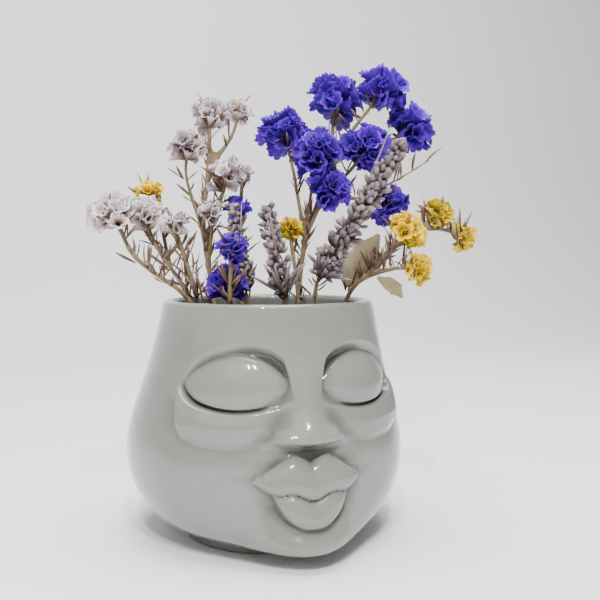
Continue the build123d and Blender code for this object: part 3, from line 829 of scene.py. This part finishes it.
def grow_bud(growth, start, axis, length, girth):
    """Adds one dried bud, bract or twiglet: a ribbed, bent and pointed spindle."""
    columns, rows = bud_columns, bud_rows
    turns = np.linspace(0, 2 * math.pi, columns, endpoint=False)
    basis = frame_matrix(axis, random.random() * 2 * math.pi)
    bend = random.normal(0, bud_bend_share, 2)
    rings, values = [], []
    for share in np.linspace(0, 1, rows):
        belly = bud_belly_share * share * (1 - share) ** bud_belly_power
        radius = girth * (bud_foot_share + belly + bud_tip_share * share)
        radius = radius * (1 + bud_rib_share * np.cos(bud_ribs * turns)) * (1 - bud_point_share * share ** 4)
        drift = bend * share ** 2 * length
        place = np.stack([radius * np.cos(turns) + drift[0], radius * np.sin(turns) + drift[1],
                          np.full(columns, length * share)], -1)
        rings.append(place @ basis.T + start)
        values.append(np.full(columns, share))
    faces = grid_faces(rows, columns)
    faces.append(tuple(range(columns))[::-1])
    faces.append(tuple(range((rows - 1) * columns, rows * columns)))
    growth.take(np.concatenate(rings), faces, np.concatenate(values), random.random())


def lavender(node, body):
    """Lavender spikes: whorls of dried buds and narrow leaves on a thin stalk, along the CAD spike's axis."""
    growth = Growth()
    for points in islands(node):
        low, high, axis = spike_ends(points)
        length = np.linalg.norm(high - low)
        whorls = int(length / whorl_pitch)
        off_axis = (points - low) - np.outer((points - low) @ axis, axis)
        reach = np.linalg.norm(off_axis, axis=1).max()
        foot = low - axis * floret_gap
        grow_bud(growth, foot, axis, length * stalk_share, stalk_radius)
        for _ in range(spike_leaves):
            way = tilted(axis, spike_leaf_lean)
            grow_bud(growth, foot, way, random.uniform(*spike_leaf_lengths), spike_leaf_girth)
        for whorl in range(whorls):
            for bud in range(whorl_buds):
                share = (whorl + bud_rise_share + bud_rise_spread_share * random.random()) / whorls
                turn_share = bud / whorl_buds + whorl_turn_share * whorl
                turn = 2 * math.pi * turn_share + random.normal(0, bud_stray)
                lean = math.radians(random.uniform(*bud_leans) * (1 - bud_upright_share * share))
                side = frame_matrix(axis, turn)
                way = side @ np.array([math.sin(lean), 0, math.cos(lean)])
                narrow = 1 - spike_taper_share * share ** 2
                off = side[:, 0] * reach * narrow * random.uniform(0, bud_off_share)
                start = low + axis * length * share * top_whorl_share + off
                bud_length = reach * bud_length_share * random.uniform(*bud_length_spread_shares) * narrow
                grow_bud(growth, start, way, bud_length, bud_girth * random.uniform(*bud_girth_spread_shares))
    piece = new_object(node + "_dressed", growth.mesh(node + "_dressed"), lavender_bud)
    stands_for(piece, body, "lavender", node)


bodies = frame["record"]["behaviour"]["bodies"]
petals = {"purple": (purple_style, purple_petal), "white": (white_style, white_petal),
          "yellow": (yellow_style, yellow_petal)}
for body, members in bodies.items():
    for node in members:
        if "stem" in node:
            soft_copy(node + "_dressed", node, stem_rounds, stem_roughness, dry_stem, body, "dry_stem")
            sprays(node, body)
        elif "leaf" in node:
            soft_copy(node + "_dressed", node, leaf_rounds, leaf_roughness, dry_leaf, body, "dry_leaf")
        elif "lavender" in node:
            lavender(node, body)
        elif "florets" in node:
            colour = node.split("_")[-2]
            floret_cluster(node, *petals[colour], body, colour + "_floret")


# Stage


def backdrop():
    """Pale floor that curves up into a wall behind the object."""
    profile = [(floor_front, 0.0), (floor_back, 0.0)]
    for step in range(1, curve_steps + 1):
        turn = math.pi / 2 * step / curve_steps
        profile.append((floor_back + wall_curve * math.sin(turn), wall_curve * (1 - math.cos(turn))))
    profile.append((floor_back + wall_curve, wall_top))
    points = [(x, y, z) for y, z in profile for x in (-floor_half, floor_half)]
    faces = [(2 * i, 2 * i + 1, 2 * i + 3, 2 * i + 2) for i in range(len(profile) - 1)]
    material, _, main = shader("pale_floor")
    main.inputs["Base Color"].default_value = floor_colour
    main.inputs["Roughness"].default_value = floor_roughness
    floor = new_object("floor", mesh_of("floor", points, faces), material)


def area_light(name, place, aim, size, power):
    """White rectangular soft light that points at a place."""
    light = bpy.data.lights.new(name, "AREA")
    light.shape = "RECTANGLE"
    light.size, light.size_y = size
    light.energy = power
    obj = bpy.data.objects.new(name, light)
    obj.location = place
    obj.rotation_euler = (Vector(aim) - Vector(place)).to_track_quat("-Z", "Y").to_euler()
    bpy.context.collection.objects.link(obj)


def studio():
    """Soft sky, a large key overhead, a weak fill, and thin strips for the glaze's highlights."""
    world = bpy.data.worlds.new("studio")
    world.use_nodes = True
    sky = world.node_tree.nodes["Background"]
    sky.inputs["Color"].default_value = sky_colour
    sky.inputs["Strength"].default_value = sky_strength
    bpy.context.scene.world = world
    for name, place, size, power in studio_lights:
        area_light(name, place, (0, 0, rim_height), size, power)


def camera():
    """Camera at the photograph's viewing angle."""
    turn = math.radians(view_turn)
    belly = Vector((0, belly_set_back, 0))
    across = Vector((math.cos(turn), math.sin(turn), 0))
    towards = Vector((math.sin(turn), -math.cos(turn), 0))
    place = belly + towards * view_distance + Vector((0, 0, view_height))
    aim = belly + across * aim_across + Vector((0, 0, aim_height))
    lens = bpy.data.cameras.new("camera")
    lens.sensor_width = sensor_width_mm
    lens.lens = lens_mm
    obj = bpy.data.objects.new("camera", lens)
    obj.location = place
    obj.rotation_euler = (aim - place).to_track_quat("-Z", "Y").to_euler()
    bpy.context.collection.objects.link(obj)
    bpy.context.scene.camera = obj


backdrop()
studio()
camera()
